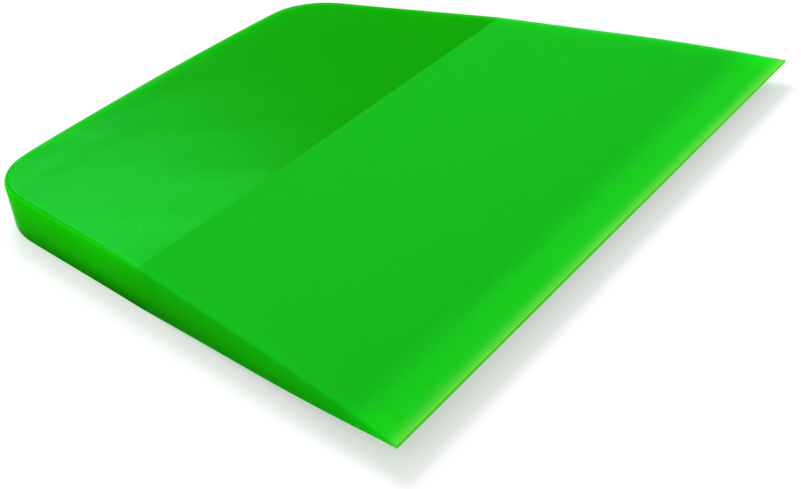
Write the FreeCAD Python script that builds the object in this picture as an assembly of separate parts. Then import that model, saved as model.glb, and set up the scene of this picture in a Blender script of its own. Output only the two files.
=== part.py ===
import FreeCAD, Part
import math
import os
from FreeCAD import Vector

# Squeegee applicator for laying film and vinyl: one cast and ground blade of translucent polyurethane.
# A flat grip zone at the rear runs into a taper on both faces, which ends in a thin straight working edge.
# Millimetres. +X points from the rear edge to the working edge, +Y runs along the working edge, +Z is up.
# The origin is the middle of the outline, on the plane of the grip zone's underside.

# Outline seen from above
overall_length = 81.0       # middle of the bowed rear edge to the working edge
edge_width = 125.0          # length of the working edge, tip to tip
rear_width = 79.5           # between the points where the straight sides would meet the rear edge
rear_bow = 1.2              # how far the middle of the rear edge stands out behind those points
rear_corner_radius = 10.5   # rounding of the two rear corners

# Section seen from the side
thickness = 6.0             # between the two flat faces of the grip zone
grip_length = 35.0          # middle of the rear edge to the crease where the taper starts
bevel_angle = 2.3           # slope of each face just ahead of the crease, in degrees
bevel_length = 20.5         # how far ahead of the crease the faces stay flat before they curve
edge_thickness = 0.4        # of the working edge

# Rims, where the two faces meet the side wall
rim_radius = 0.18           # rounding of both rims, all the way to the tips
rim_share = 0.45            # the most of the edge thickness that this rounding may take at the tips

rear_x = -overall_length / 2
edge_x = overall_length / 2
crease_x = rear_x + grip_length
bevel_end_x = crease_x + bevel_length
chord_x = rear_x + rear_bow
same_place = 1e-3           # points nearer than this count as one


def tangent_arc(start, direction, end):
    """Arc that leaves start along direction and ends at end."""
    chord = end - start
    across = chord - direction * (chord.dot(direction) / direction.dot(direction))
    inward = across.normalize()
    radius = chord.dot(chord) / (2 * chord.dot(inward))
    centre = start + inward * radius
    outward = ((start - centre) + (end - centre)).normalize()
    return Part.Arc(start, centre + outward * radius, end).toShape()


def outline_prism():
    """Outline of the blade, as tall as the grip zone is thick, with its rear corners rounded."""
    right_rear = Vector(chord_x, -rear_width / 2, 0)
    left_rear = Vector(chord_x, rear_width / 2, 0)
    right_tip = Vector(edge_x, -edge_width / 2, 0)
    left_tip = Vector(edge_x, edge_width / 2, 0)
    outline = Part.Wire([
        Part.Arc(left_rear, Vector(rear_x, 0, 0), right_rear).toShape(),
        Part.makeLine(right_rear, right_tip),
        Part.makeLine(right_tip, left_tip),
        Part.makeLine(left_tip, left_rear),
    ])
    prism = Part.Face(outline).extrude(Vector(0, 0, thickness))
    rear_corners = [edge for edge in prism.Edges
                    if is_upright(edge) and edge.CenterOfMass.x < chord_x + same_place]
    return prism.makeFillet(rear_corner_radius, rear_corners)


def section_prism():
    """Side view of the blade, wide enough to span the outline."""
    middle_z = thickness / 2
    bevel_drop = bevel_length * math.tan(math.radians(bevel_angle))
    reach = edge_width / 2 + rear_width / 2

    def face_line(side):
        rear = Vector(rear_x - thickness, -reach, middle_z + side * thickness / 2)
        crease = Vector(crease_x, -reach, rear.z)
        bevel_end = Vector(bevel_end_x, -reach, rear.z - side * bevel_drop)
        tip = Vector(edge_x, -reach, middle_z + side * edge_thickness / 2)
        edges = [Part.makeLine(rear, crease),
                 Part.makeLine(crease, bevel_end),
                 tangent_arc(bevel_end, bevel_end - crease, tip)]
        return rear, edges, tip

    top_rear, top_edges, top_tip = face_line(1)
    low_rear, low_edges, low_tip = face_line(-1)
    closing = [Part.makeLine(top_tip, low_tip), Part.makeLine(low_rear, top_rear)]
    section = Part.Wire(Part.__sortEdges__(top_edges + low_edges + closing))
    return Part.Face(section).extrude(Vector(0, 2 * reach, 0))


def is_upright(edge):
    first, last = edge.Vertexes[0].Point, edge.Vertexes[-1].Point
    return math.hypot(first.x - last.x, first.y - last.y) < same_place


def rim_edges(blade):
    """Edges where a face meets the side wall: all but the upright ones and those that run straight across."""
    return [edge for edge in blade.Edges
            if not is_upright(edge) and edge.BoundBox.XLength > same_place]


def squeegee_blade():
    sharp_blade = outline_prism().common(section_prism()).Solids[0]
    radius = min(rim_radius, rim_share * edge_thickness)
    return sharp_blade.makeFillet(radius, rim_edges(sharp_blade))


os.makedirs("parts", exist_ok=True)
squeegee_blade().exportStep("parts/squeegee_blade.step")
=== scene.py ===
import math

import bmesh
import bpy
from mathutils import Matrix, Vector


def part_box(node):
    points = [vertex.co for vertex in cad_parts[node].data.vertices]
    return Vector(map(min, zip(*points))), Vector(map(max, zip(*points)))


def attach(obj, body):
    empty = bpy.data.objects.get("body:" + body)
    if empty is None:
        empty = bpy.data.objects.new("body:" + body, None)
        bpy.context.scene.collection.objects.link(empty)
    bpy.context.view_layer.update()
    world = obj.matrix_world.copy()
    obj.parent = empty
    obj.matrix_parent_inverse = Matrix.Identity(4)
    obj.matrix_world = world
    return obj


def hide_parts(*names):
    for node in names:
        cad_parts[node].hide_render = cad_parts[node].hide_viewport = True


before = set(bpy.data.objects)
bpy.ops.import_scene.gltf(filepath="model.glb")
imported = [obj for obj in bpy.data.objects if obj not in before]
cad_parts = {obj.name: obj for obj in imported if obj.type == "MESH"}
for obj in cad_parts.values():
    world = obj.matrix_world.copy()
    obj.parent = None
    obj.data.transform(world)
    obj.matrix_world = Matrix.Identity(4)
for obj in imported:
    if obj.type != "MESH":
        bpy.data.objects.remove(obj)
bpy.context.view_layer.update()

MM = 0.001

# The blade, in metres, in the frame's axes: X to the working edge, Y along it, Z up from the underside.
cad_low, cad_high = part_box("squeegee_blade")
edge_x = cad_high.x
thickness = cad_high.z - cad_low.z
middle_z = (cad_high.z + cad_low.z) / 2
edge_width = cad_high.y - cad_low.y
overall_length = 81.0 * MM
rear_width = 79.5 * MM
rear_bow = 1.2 * MM
upper_corner_radius = 10.0 * MM
lower_corner_radius = 14.0 * MM
corner_bulge = Vector((-0.24, -0.46)) * MM      # how far the outline stands out beside the right rear corner
bulge_reach = 38.0 * MM     # how far from that corner the bulge ends
bulge_rise = 11.0 * MM      # length over which it grows, away from the corner
bulge_start = 1.0 * MM
bulge_least = 0.1           # share of the bulge at the corner itself
grip_length = 35.0 * MM
bevel_slope = math.tan(math.radians(2.3))
bevel_length = 20.5 * MM
edge_thickness = 0.4 * MM

rear_x = edge_x - overall_length
chord_x = rear_x + rear_bow
crease_x = rear_x + grip_length
bevel_end_x = crease_x + bevel_length
bevel_drop = bevel_slope * (edge_x - crease_x)
face_curvature = (thickness / 2 - bevel_drop - edge_thickness / 2) / (edge_x - bevel_end_x) ** 2

# Rounding of the rims: crisp round the grip zone but worn at its upper rear corners, softer along the ground
# taper, fine again at the thin tips
grip_rim = 0.22 * MM
corner_rim = 0.60 * MM
corner_wear = 24.0 * MM     # length over which the sides' rims take on the worn rounding
corner_inset = 30.0 * MM    # how far from the middle the worn rounding starts on the rear edge
wear_rise = 8.0 * MM        # length over which it grows there
taper_rim = 0.32 * MM
rim_share = 0.6             # the most of the half thickness that the rounding takes
rim_change = 14.0 * MM      # length over which the crisp rim turns into the soft one
edge_rim = 0.06 * MM        # rounding along the working edge itself
crease_blend = 0.12 * MM    # half the width of the crease's own rounding

# Steps of the mesh
rear_steps = 44             # along half of the rear edge
corner_steps = 22
grip_steps = 26             # along a side of the grip zone
taper_steps = 64            # along a side of the taper
wall_steps = 6              # up the side wall
rim_angles = (0, 8, 18, 30, 44, 60, 76, 90)     # degrees round the rim, one for each ring on its rounding
ring_shares = (0.25, 0.6, 1.0)      # places of the further rings between the rounding and rim_depth
edge_angles = (0, 25, 50, 70, 90)   # degrees round the rounding of the working edge, one for each row
rim_depth = 3.0 * MM        # width of the rings that run along the rim of each face
turn_length = 12.0 * MM     # length over which the rows turn from square to the side to straight across
bow_fade = 20.0 * MM        # length over which the rows lose the bow of the rear edge

# The camera of the photograph, fitted to the outline
camera_place = Vector((121.6, -198.6, 116.9)) * MM
camera_azimuth = math.radians(30.62)
camera_elevation = math.radians(29.11)
camera_roll = math.radians(-0.17)
camera_lens = 78.95


def clamp(value, low=0.0, high=1.0):
    return max(low, min(high, value))


def smooth(value):
    value = clamp(value)
    return value * value * (3 - 2 * value)


# The blade's mesh

def half_thickness(x):
    """Half the blade's thickness at x, on the faces."""
    past_crease = max(0.0, x - crease_x)
    past_bevel = max(0.0, x - bevel_end_x)
    return thickness / 2 - bevel_slope * past_crease - face_curvature * past_bevel ** 2


def rim_radius(x, y, side):
    """Rounding of the upper (side 1) or the lower (-1) rim where the outline passes x, y."""
    soft = smooth((x - crease_x) / rim_change)
    worn = 0.0
    if side == 1:
        worn = smooth((crease_x - x) / corner_wear) * smooth((abs(y) - corner_inset) / wear_rise)
    wanted = grip_rim + (taper_rim - grip_rim) * soft + (corner_rim - grip_rim) * worn
    return min(wanted, rim_share * half_thickness(x))


def corner_centre(rear_corner_radius):
    """Centre of the arc that rounds the left rear corner, with what it touches.

    That is the radius and centre of the bowed rear edge, and the directions along and square to the side.
    """
    bow_radius = (rear_width ** 2 / 4 + rear_bow ** 2) / (2 * rear_bow)
    bow_centre = Vector((rear_x + bow_radius, 0.0))
    along = Vector((edge_x - chord_x, (edge_width - rear_width) / 2)).normalized()
    inward = Vector((along.y, -along.x))
    start = Vector((chord_x, rear_width / 2)) + inward * rear_corner_radius
    # Distance s along the side at which the centre is as far from the bow's centre as both radii allow
    gap = start - bow_centre
    reach = bow_radius - rear_corner_radius
    b = gap.dot(along)
    s = -b - math.sqrt(b * b - gap.length_squared + reach * reach)
    return start + along * s, bow_radius, bow_centre, along, inward


def outline_stations(rear_corner_radius):
    """Points of the left half of one rim, from the middle of the rear edge to the left tip.

    Each has the direction in which the rows of the mesh run inward, and how much longer than the
    distance from the wall a step in that direction is.
    """
    centre, bow_radius, bow_centre, along, inward = corner_centre(rear_corner_radius)
    corner_start = bow_centre + (centre - bow_centre).normalized() * bow_radius
    corner_end = centre - inward * rear_corner_radius
    stations = []

    for i in range(rear_steps):
        y = corner_start.y * i / rear_steps
        point = Vector((bow_centre.x - math.sqrt(bow_radius ** 2 - y * y), y))
        stations.append((point, (bow_centre - point).normalized(), 1.0))

    first = math.atan2(corner_start.y - centre.y, corner_start.x - centre.x)
    last = math.atan2(corner_end.y - centre.y, corner_end.x - centre.x)
    for i in range(corner_steps):
        angle = first + (last - first) * i / corner_steps
        out = Vector((math.cos(angle), math.sin(angle)))
        stations.append((centre + out * rear_corner_radius, -out, 1.0))

    turn = math.atan2(along.y, along.x)
    for x in side_rows(corner_end.x):
        point = corner_end + along * ((x - corner_end.x) / along.x)
        lean = turn * smooth((point - corner_end).length / turn_length)
        direction = Vector((math.sin(turn - lean), -math.cos(turn - lean)))
        stations.append((point, direction, 1.0 / math.cos(lean)))
    return stations


def side_rows(start_x):
    """Places along X of the mesh's rows on the straight side: close at the crease and at the edge."""
    rows = [start_x + (crease_x - crease_blend - start_x) * i / grip_steps for i in range(grip_steps + 1)]
    rows.append(crease_x)
    taper_start = crease_x + crease_blend
    taper_end = edge_x - 4 * edge_rim
    rows += [taper_start + (taper_end - taper_start) * i / taper_steps for i in range(taper_steps + 1)]
    rows += [edge_x - edge_rim * (1 - math.sin(math.radians(angle))) for angle in edge_angles]
    return rows


def edge_drop(x):
    """How far the rounding along the working edge takes the face down at x."""
    inset = edge_rim - (edge_x - x)
    if inset <= 0:
        return 0.0
    return edge_rim - math.sqrt(max(0.0, edge_rim ** 2 - inset ** 2))


def face_height(x, y, from_wall, side):
    """Height of the upper (side 1) or the lower (-1) face off the middle plane, from_wall inside the wall."""
    radius = rim_radius(x, y, side)
    inset = clamp(radius - from_wall, 0.0, radius)
    rim_drop = radius - math.sqrt(radius ** 2 - inset ** 2)
    return half_thickness(x) - rim_drop - edge_drop(x)


def bulge_share(point):
    """Share of the right rear corner's bulge that the outline has at a point: little at the corner itself."""
    away = (point - Vector((chord_x, -rear_width / 2))).length
    growth = bulge_least + (1 - bulge_least) * smooth((away - bulge_start) / bulge_rise)
    return smooth(1 - away / bulge_reach) * growth


def whole_outline(rear_corner_radius):
    """Stations of one rim from the right tip, round the rear, to the left tip."""
    half = outline_stations(rear_corner_radius)
    mirrored = []
    for point, direction, stretch in reversed(half[1:]):
        right_point = Vector((point.x, -point.y))
        right_point += corner_bulge * bulge_share(right_point)
        mirrored.append((right_point, Vector((direction.x, -direction.y)), stretch))
    return mirrored + half


class Shell:
    """Vertices and faces of the blade while they are being made."""

    def __init__(self):
        self.vertices = []
        self.faces = []

    def add(self, x, y, z):
        self.vertices.append((x, y, z))
        return len(self.vertices) - 1

    def strip(self, first, second):
        """Four-sided faces between two lines of as many vertices."""
        for i in range(len(first) - 1):
            self.faces.append((first[i], first[i + 1], second[i + 1], second[i]))

    def mesh(self, name):
        mesh = bpy.data.meshes.new(name)
        mesh.from_pydata(self.vertices, [], self.faces)
        shell = bmesh.new()
        shell.from_mesh(mesh)
        bmesh.ops.recalc_face_normals(shell, faces=shell.faces)
        shell.to_mesh(mesh)
        shell.free()
        return mesh


def ring_distances(x, y, side):
    """Distances inside the wall at which a face has its rings of vertices, close on the rim's rounding."""
    radius = rim_radius(x, y, side)
    near = [radius * (1 - math.cos(math.radians(angle))) for angle in rim_angles]
    far = [radius + (rim_depth - radius) * share for share in ring_shares]
    return near + far


def add_face(shell, whole, side):
    """One face of the blade: rings along the rim, then rows across. Returns its rim and its edge line."""
    rings = [[] for _ in rim_angles + ring_shares]
    inner = []
    for point, direction, stretch in whole:
        for ring, distance in zip(rings, ring_distances(point.x, point.y, side)):
            place = point + direction * (distance * stretch)
            height = face_height(place.x, point.y, distance, side)
            ring.append(shell.add(place.x, place.y, middle_z + side * height))
        inner.append(place)
    for outer_ring, inner_ring in zip(rings, rings[1:]):
        shell.strip(outer_ring, inner_ring)

    # The first rows are bowed as the rear edge is
    middle = len(whole) // 2
    first_left, first_right = middle + rear_steps, middle - rear_steps
    last_ring = rings[-1]
    previous = last_ring[first_right:first_left + 1]
    bow = inner[first_left].x - inner[middle].x
    columns = 2 * rear_steps
    for step in range(1, len(whole) - first_left):
        left = inner[first_left + step]
        fade = 1 - smooth((left.x - inner[first_left].x) / bow_fade)
        row = [last_ring[first_right - step]]
        for column in range(1, columns):
            share = 2 * column / columns - 1
            x = left.x - bow * fade * (1 - share * share)
            height = face_height(x, left.y * share, rim_depth, side)
            row.append(shell.add(x, left.y * share, middle_z + side * height))
        row.append(last_ring[first_left + step])
        shell.strip(previous, row)
        previous = row
    edge_line = [ring[0] for ring in rings[:-1]] + previous + [ring[-1] for ring in reversed(rings[:-1])]
    return rings[0], edge_line


def add_wall(shell, upper, lower):
    """The wall round the sides and the rear. Returns its levels from the upper rim to the lower one."""
    levels = [upper]
    for step in range(1, wall_steps):
        share = step / wall_steps
        level = []
        for top, bottom in zip(upper, lower):
            place = Vector(shell.vertices[top]).lerp(Vector(shell.vertices[bottom]), share)
            level.append(shell.add(*place))
        levels.append(level)
    levels.append(lower)
    for above, below in zip(levels, levels[1:]):
        shell.strip(above, below)
    return levels


def blade_mesh():
    shell = Shell()
    upper_rim, upper_edge = add_face(shell, whole_outline(upper_corner_radius), 1)
    lower_rim, lower_edge = add_face(shell, whole_outline(lower_corner_radius), -1)
    levels = add_wall(shell, upper_rim, lower_rim)
    # The thin face of the working edge, whose two end faces also take the ends of the wall's levels
    shell.strip(upper_edge[1:-1], lower_edge[1:-1])
    right_levels = [level[0] for level in levels]
    left_levels = [level[-1] for level in levels]
    shell.faces.append(right_levels + [lower_edge[1], upper_edge[1]])
    shell.faces.append(left_levels + [lower_edge[-2], upper_edge[-2]])
    return shell.mesh("squeegee_blade_body")


def blade():
    piece = bpy.data.objects.new("squeegee_blade_body", blade_mesh())
    bpy.context.collection.objects.link(piece)
    for polygon in piece.data.polygons:
        polygon.use_smooth = True
    return piece


# Materials

class Nodes:
    """A material's or a world's node tree, with a short way to add and join nodes."""

    def __init__(self, owner):
        owner.use_nodes = True
        self.tree = owner.node_tree
        self.tree.nodes.clear()

    def add(self, kind, values=None, **settings):
        node = self.tree.nodes.new(kind)
        for name, value in settings.items():
            setattr(node, name, value)
        for key, value in (values or {}).items():
            if isinstance(value, bpy.types.NodeSocket):
                self.tree.links.new(value, node.inputs[key])
            else:
                node.inputs[key].default_value = value
        return node

    def math(self, operation, a, b=0.0):
        return self.add("ShaderNodeMath", {0: a, 1: b}, operation=operation).outputs[0]

    def span(self, value, low, high, to_low=0.0, to_high=1.0):
        """value taken from low..high to to_low..to_high, smoothly and clamped."""
        node = self.add("ShaderNodeMapRange", {0: value, 1: low, 2: high, 3: to_low, 4: to_high},
                        interpolation_type="SMOOTHSTEP")
        return node.outputs[0]

    def mix(self, share, a, b):
        node = self.add("ShaderNodeMix", {0: share, 6: a, 7: b}, data_type="RGBA")
        return node.outputs[2]

    def noise(self, place, per_metre, detail=2.0):
        """Noise round 0, from about -0.5 to 0.5, with its own number of waves a metre along each axis."""
        stretched = self.add("ShaderNodeVectorMath", {0: place, 1: per_metre}, operation="MULTIPLY")
        node = self.add("ShaderNodeTexNoise", {"Vector": stretched.outputs[0], "Scale": 1.0, "Detail": detail})
        return self.math("SUBTRACT", node.outputs[0], 0.5)

    def total(self, *parts):
        result = parts[0]
        for part in parts[1:]:
            result = self.math("ADD", result, part)
        return result

    def product(self, *parts):
        result = parts[0]
        for part in parts[1:]:
            result = self.math("MULTIPLY", result, part)
        return result

    def finish(self, shader, kind="ShaderNodeOutputMaterial"):
        output = self.tree.nodes.new(kind)
        self.tree.links.new(shader.outputs[0], output.inputs[0])


ground_rim = 1.6 * MM       # how far down the side wall the grinding of the taper rounds off
face_blend = 0.1 * MM       # height over which the marks of the upper face begin above the middle plane
# Where the rims' rounding leans over, it takes the walls' painted light, which makes a painted bright line
# along the rim
face_start, face_full = 0.82, 0.98  # how far upright a surface points where it turns from wall into face

# Heights of the relief
wave_height = 85e-6
streak_height = 0.8e-6
grinding_height = 2e-6
hatch_height = 1.5e-6
flaw_height = 15e-6

# Places where the wall's colour changes, with its painted light and painted shade
wall_change_start, wall_change_end = crease_x - 10 * MM, crease_x + 6 * MM
# painted shade at the foot of the walls, from 2.8 mm down to 0.2 mm above the underside
low_shade_top, low_shade_full = 2.8 * MM, 0.2 * MM
low_shade_at_rear = 0.1      # share of the painted shade at the wall's foot that remains at the rear edge
rear_shade_depth = 2.5 * MM  # how far in front of the rear corners the rear wall's painted shade begins

# Distances from the working edge over which the painted light shining through the thinning blade grows, over a
# broad band and along the very edge
band_start, band_full = 9 * MM, 1.0 * MM
lip_start, lip_full = 3.0 * MM, -0.4 * MM
lip_power = 2.2             # above 1 it keeps the painted glow along the lip narrow
lip_clearness = 0.7         # share of the scattering that the lip loses

# Shares of the pale colour that the marks take on
streak_paleness = 0.05
wave_paleness = 0.10
hatch_full = 0.14           # level of the hatch noise at which a scratch is fully pale
hatch_paleness = 0.14
flaw_paleness = 0.16

# Roughness, and what the marks add to it
cast_roughness = 0.17
ground_roughness = 0.60
streak_roughness = 0.03
scuff_roughness = 0.08

# Metallic share, which colours the reflection
cast_tint = 0.075
ground_tint = 0.015

# Small flaws of the casting on the upper face: x, y and radius in millimetres
flaws = [(19.3, -53.9, 0.42), (21.4, -53.0, 0.38), (-0.7, -31.5, 0.5), (3.4, -17.6, 0.6),
         (-12.2, -40.2, 0.45), (-17.3, -30.1, 0.4), (-7.4, -30.5, 0.45)]

# Scuffed patches on the upper face: x, y and radius in millimetres
scuffs = [(-6.8, -44.6, 5.0), (-10.0, -34.0, 4.0), (-15.5, -37.0, 3.5)]


def patches(nodes, x, y, upper, places):
    """1 within each of the round places on the upper face, fading to 0 at its radius."""
    shares = []
    for centre_x, centre_y, radius in places:
        dx = nodes.math("SUBTRACT", x, centre_x * MM)
        dy = nodes.math("SUBTRACT", y, centre_y * MM)
        square = nodes.total(nodes.product(dx, dx), nodes.product(dy, dy))
        shares.append(nodes.span(nodes.math("SQRT", square), radius * MM, 0.0))
    return nodes.product(nodes.total(*shares), upper)


def depth_below_face(nodes, x, z):
    """How far a point of the side wall is below the rim of the face above it, or over the one below it."""
    past_crease = nodes.math("MAXIMUM", nodes.math("SUBTRACT", x, crease_x), 0.0)
    past_bevel = nodes.math("MAXIMUM", nodes.math("SUBTRACT", x, bevel_end_x), 0.0)
    drop = nodes.total(nodes.product(past_crease, bevel_slope),
                       nodes.product(past_bevel, past_bevel, face_curvature))
    from_middle = nodes.math("ABSOLUTE", nodes.math("SUBTRACT", z, middle_z))
    return nodes.math("SUBTRACT", nodes.math("SUBTRACT", thickness / 2, drop), from_middle)


def polyurethane():
    """Cast translucent polyurethane: a smooth skin, but satin on the two faces that are ground to a taper."""
    material = bpy.data.materials.new("green_polyurethane")
    nodes = Nodes(material)
    coordinates = nodes.add("ShaderNodeTexCoord")
    place = coordinates.outputs["Object"]
    x, y, z = nodes.add("ShaderNodeSeparateXYZ", {0: place}).outputs
    upright = nodes.add("ShaderNodeSeparateXYZ", {0: coordinates.outputs["Normal"]}).outputs[2]

    # Where the surface is cast and where it is ground
    past_crease = nodes.span(x, crease_x - crease_blend, crease_x + crease_blend)
    on_face = nodes.span(nodes.math("ABSOLUTE", upright), face_start, face_full)
    over_rim = nodes.span(depth_below_face(nodes, x, z), ground_rim, 0.0)
    ground = nodes.product(past_crease, nodes.math("MAXIMUM", on_face, over_rim))
    cast = nodes.math("SUBTRACT", 1.0, ground)
    upper = nodes.span(z, middle_z, middle_z + face_blend)

    # Relief
    waves = nodes.noise(place, (170, 90, 170), detail=1.0)
    streaks = nodes.noise(place, (500, 22, 300))
    grinding = nodes.noise(place, (2600, 60, 400))
    hatch = nodes.noise(place, (1500, 500, 500))
    scuffed = patches(nodes, x, y, upper, scuffs)
    flawed = patches(nodes, x, y, upper, flaws)
    relief = nodes.total(
        nodes.product(waves, cast, wave_height),
        nodes.product(streaks, cast, streak_height),
        nodes.product(grinding, ground, grinding_height),
        nodes.product(hatch, scuffed, hatch_height),
        nodes.product(flawed, flaw_height))
    bump = nodes.add("ShaderNodeBump", {"Height": relief, "Distance": 1.0, "Strength": 1.0})

    # Colour: deep in the skin, paler on the ground faces, painted light on the walls with painted shade at
    # their foot and on the rear wall, and the palest painted light, shining through the blade, at the thin lip
    cast_skin = (0.0050, 0.358, 0.0002, 1)
    # painted light: the cast walls are paler than the cast face, standing in for light that glows through the
    # body into them, more on the grip zone than on the taper
    lit_grip_wall = (0.0085, 0.660, 0.0015, 1)
    lit_taper_wall = (0.0085, 0.540, 0.0015, 1)
    # painted shade at the foot of the walls
    shaded_low_wall = (0.0070, 0.430, 0.0010, 1)
    # painted shade: the rear wall is darker than the side walls
    shaded_rear_wall = (0.0070, 0.440, 0.0010, 1)
    ground_face = (0.0080, 0.475, 0.0110, 1)
    # painted light shining through the thinning blade, over the broad band and at the lip
    band_glow = (0.0100, 0.790, 0.0100, 1)
    lip_glow = (0.150, 0.960, 0.070, 1)
    scuff_pale = (0.0200, 0.560, 0.0300, 1)
    flaw_pale = (0.05, 0.70, 0.10, 1)
    # painted light on the walls, brighter on the grip zone than on the taper
    wall = nodes.mix(nodes.span(x, wall_change_start, wall_change_end), lit_grip_wall, lit_taper_wall)
    # painted shade: the wall darkens towards its foot, fully from the crease on and only a little at the rear
    low_shade = nodes.product(nodes.span(z, low_shade_top, low_shade_full),
                         nodes.span(x, rear_x, crease_x, low_shade_at_rear, 1.0))
    wall = nodes.mix(low_shade, wall, shaded_low_wall)
    # painted shade on the rear wall and just in front of the rear corners
    wall = nodes.mix(nodes.span(x, chord_x + rear_shade_depth, chord_x), wall, shaded_rear_wall)
    # the walls and the leaning part of the rims' rounding take the painted wall light
    colour = nodes.mix(on_face, wall, cast_skin)
    colour = nodes.mix(ground, colour, ground_face)
    from_edge = nodes.math("SUBTRACT", edge_x, x)
    # painted light: paler and yellower towards the thin working edge, standing in for light that shines
    # through it
    colour = nodes.mix(nodes.span(from_edge, band_start, band_full), colour, band_glow)
    at_lip = nodes.math("POWER", nodes.span(from_edge, lip_start, lip_full), lip_power)
    colour = nodes.mix(at_lip, colour, lip_glow)
    faint = nodes.total(nodes.product(streaks, cast, streak_paleness),
                        nodes.product(waves, cast, wave_paleness))
    colour = nodes.mix(nodes.math("MAXIMUM", faint, 0.0), colour, scuff_pale)
    scratched = nodes.product(scuffed, nodes.span(hatch, 0.0, hatch_full), hatch_paleness)
    colour = nodes.mix(scratched, colour, scuff_pale)
    colour = nodes.mix(nodes.product(flawed, flaw_paleness), colour, flaw_pale)

    roughness = nodes.total(nodes.product(cast, cast_roughness), nodes.product(ground, ground_roughness),
                            nodes.product(streaks, cast, streak_roughness),
                            nodes.product(scuffed, scuff_roughness))
    tinted = nodes.total(nodes.product(cast, on_face, cast_tint), nodes.product(ground, ground_tint))
    depth = nodes.math("SUBTRACT", 1.0, nodes.product(at_lip, lip_clearness))

    shader = nodes.add("ShaderNodeBsdfPrincipled", {
        "Base Color": colour,
        "Roughness": roughness,
        "Metallic": tinted,
        "Normal": bump.outputs[0],
        "IOR": 1.5,
        "Specular IOR Level": 0.002,
        "Specular Tint": (0.15, 1.0, 0.9, 1),
        "Subsurface Weight": depth,
        "Subsurface Radius": (0.06, 1.0, 0.06),
        "Subsurface Scale": 7.0 * MM,
    })
    nodes.finish(shader)
    return material


# Studio

floor_reach = 3.0           # from the middle of the floor to its sides
floor_gap = 0.02 * MM       # between the blade and the floor
floor_glow = 0.53           # makes the floor white where it is seen, without lighting the blade
floor_colour = (0.75, 0.75, 0.75, 1)        # for the light that it throws on the blade
seen_floor_colour = (0.55, 0.55, 0.55, 1)   # for the camera, so that the shadow is as strong as photographed

# Light of the room, which grows from the horizon up; heights are those of a direction of length 1
horizon, overhead = 0.10, 0.90
horizon_light, overhead_light = 0.15, 0.50


def floor_material():
    """A white floor that looks as white as the photograph's, and still shows the blade's shadow."""
    material = bpy.data.materials.new("studio_floor")
    nodes = Nodes(material)
    path = nodes.add("ShaderNodeLightPath").outputs
    seen = nodes.math("MAXIMUM", path["Is Camera Ray"], path["Is Glossy Ray"])
    seen = nodes.math("MAXIMUM", seen, path["Is Transmission Ray"])
    painted = nodes.mix(seen, floor_colour, seen_floor_colour)
    white = nodes.add("ShaderNodeBsdfDiffuse", {"Color": painted})
    strength = nodes.product(seen, floor_glow)
    glow = nodes.add("ShaderNodeEmission", {"Color": (1, 1, 1, 1), "Strength": strength})
    both = nodes.add("ShaderNodeAddShader", {0: white.outputs[0], 1: glow.outputs[0]})
    nodes.finish(both)
    return material


def studio():
    below = cad_low.z - floor_gap
    corners = [(x * floor_reach, y * floor_reach, below) for x, y in ((-1, -1), (1, -1), (1, 1), (-1, 1))]
    mesh = bpy.data.meshes.new("floor")
    mesh.from_pydata(corners, [], [(0, 1, 2, 3)])
    floor = bpy.data.objects.new("floor", mesh)
    floor.data.materials.append(floor_material())
    bpy.context.collection.objects.link(floor)

    world = bpy.data.worlds.new("studio")
    bpy.context.scene.world = world
    nodes = Nodes(world)
    direction = nodes.add("ShaderNodeTexCoord").outputs["Generated"]
    height = nodes.add("ShaderNodeSeparateXYZ", {0: direction}).outputs[2]
    level = nodes.span(height, horizon, overhead, horizon_light, overhead_light)
    light = nodes.add("ShaderNodeBackground", {"Color": (1, 1, 1, 1), "Strength": level})
    nodes.finish(light, "ShaderNodeOutputWorld")

    key = lamp("key", azimuth=58, elevation=36, distance=2.0, size=1.04, power=16.0)
    key.visible_glossy = False
    lamp("window", azimuth=45, elevation=38, distance=2.0, size=0.90, power=20.0, colour=(0.85, 0.95, 1.0))
    lamp("fill", azimuth=165, elevation=45, distance=2.0, size=2.4, power=8.0)


def lamp(name, azimuth, elevation, distance, size, power, colour=(1, 1, 1)):
    """A soft lamp that points at the blade; azimuth turns from +Y towards -X."""
    turn, rise = math.radians(azimuth), math.radians(elevation)
    toward = Vector((-math.sin(turn) * math.cos(rise), math.cos(turn) * math.cos(rise), math.sin(rise)))
    light = bpy.data.lights.new(name, "AREA")
    light.shape = "DISK"
    light.size = size
    light.energy = power
    light.color = colour
    holder = bpy.data.objects.new(name, light)
    holder.location = toward * distance
    holder.rotation_euler = (-toward).to_track_quat("-Z", "Y").to_euler()
    bpy.context.collection.objects.link(holder)
    return holder


def camera():
    back = Vector((math.sin(camera_azimuth) * math.cos(camera_elevation),
                   -math.cos(camera_azimuth) * math.cos(camera_elevation),
                   math.sin(camera_elevation)))
    level_right = Vector((math.cos(camera_azimuth), math.sin(camera_azimuth), 0.0))
    level_up = back.cross(level_right)
    right = level_right * math.cos(camera_roll) + level_up * math.sin(camera_roll)
    up = back.cross(right)
    data = bpy.data.cameras.new("camera")
    data.sensor_width = 36.0
    data.lens = camera_lens
    data.clip_start = 0.01
    data.clip_end = 20.0
    holder = bpy.data.objects.new("camera", data)
    holder.matrix_world = Matrix.Translation(camera_place) @ Matrix((right, up, back)).transposed().to_4x4()
    bpy.context.collection.objects.link(holder)
    bpy.context.scene.camera = holder


body = blade()
body.data.materials.append(polyurethane())
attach(body, "root")
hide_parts("squeegee_blade")

studio()
camera()
bpy.context.scene.view_settings.view_transform = "Standard"
